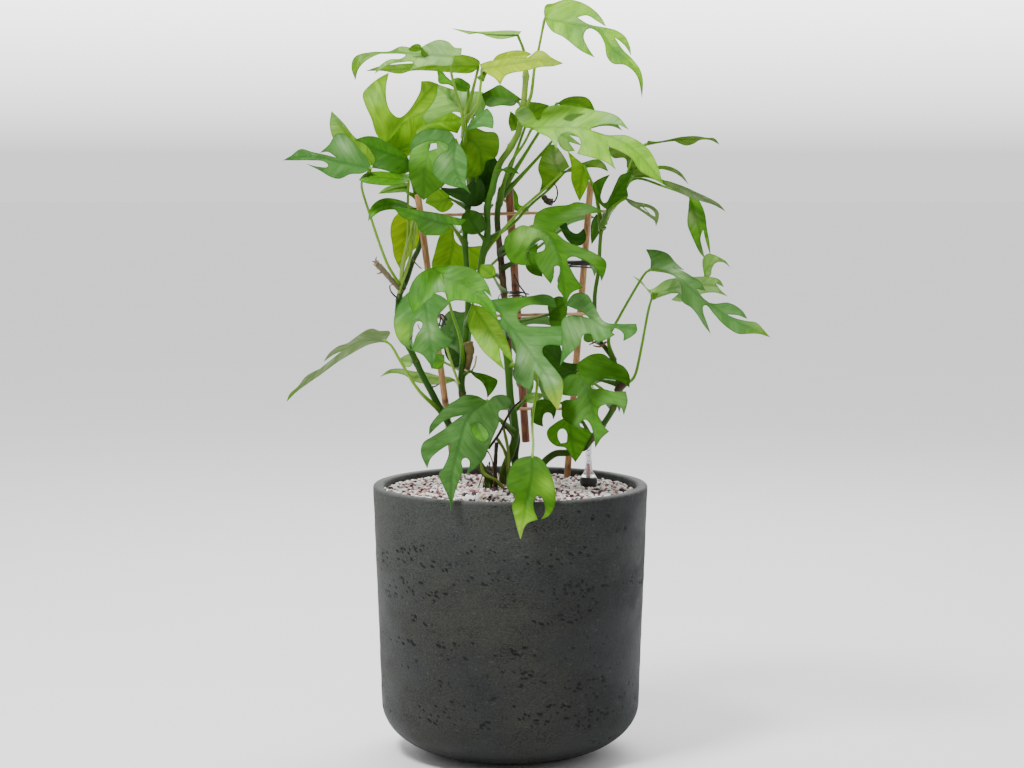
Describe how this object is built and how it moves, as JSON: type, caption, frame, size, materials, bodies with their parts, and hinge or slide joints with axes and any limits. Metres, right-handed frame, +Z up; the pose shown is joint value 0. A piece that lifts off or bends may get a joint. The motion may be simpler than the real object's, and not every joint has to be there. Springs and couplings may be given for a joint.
{
  "type": "potted mini monstera",
  "caption": "Climbing houseplant with split and perforated leaves, held by a bamboo trellis in a round concrete-look pot filled with clay granulate, with a water gauge.",
  "frame": {"origin": "centre of the pot's flat underside, on the surface that it stands on", "axes": "+Z up along the pot's axis, -Y towards the plant's front, +X to the front's right"},
  "size_m": [0.5143, 0.3319, 0.8186],
  "materials": {
    "pot": "dark grey concrete look with fine black pits",
    "granulate": "mixed pale, beige and mauve clay grains",
    "bamboo": "brown bamboo, faint length grain",
    "wire": "black covered wire",
    "foliage": "satin leaf green, from yellow green to dark green",
    "gauge_black": "black satin plastic",
    "gauge_clear": "clear plastic",
    "gauge_red": "red plastic"
  },
  "bodies": {
    "root": {"pot": "pot", "granulate": "granulate", "gauge_sleeve": "gauge_black", "gauge_tube": "gauge_clear", "gauge_float": "gauge_red", "trellis_cane_left": "bamboo", "trellis_cane_middle": "bamboo", "trellis_cane_right": "bamboo", "trellis_crossbar_top": "bamboo", "trellis_crossbar_middle": "bamboo", "trellis_crossbar_bottom": "bamboo", "wire_tie_right": "wire", "wire_tie_middle": "wire", "wire_tie_left": "wire", "vine_left": "foliage", "vine_inner_left": "foliage", "vine_centre": "foliage", "vine_middle": "foliage", "vine_right": "foliage"}
  },
  "joints": []
}
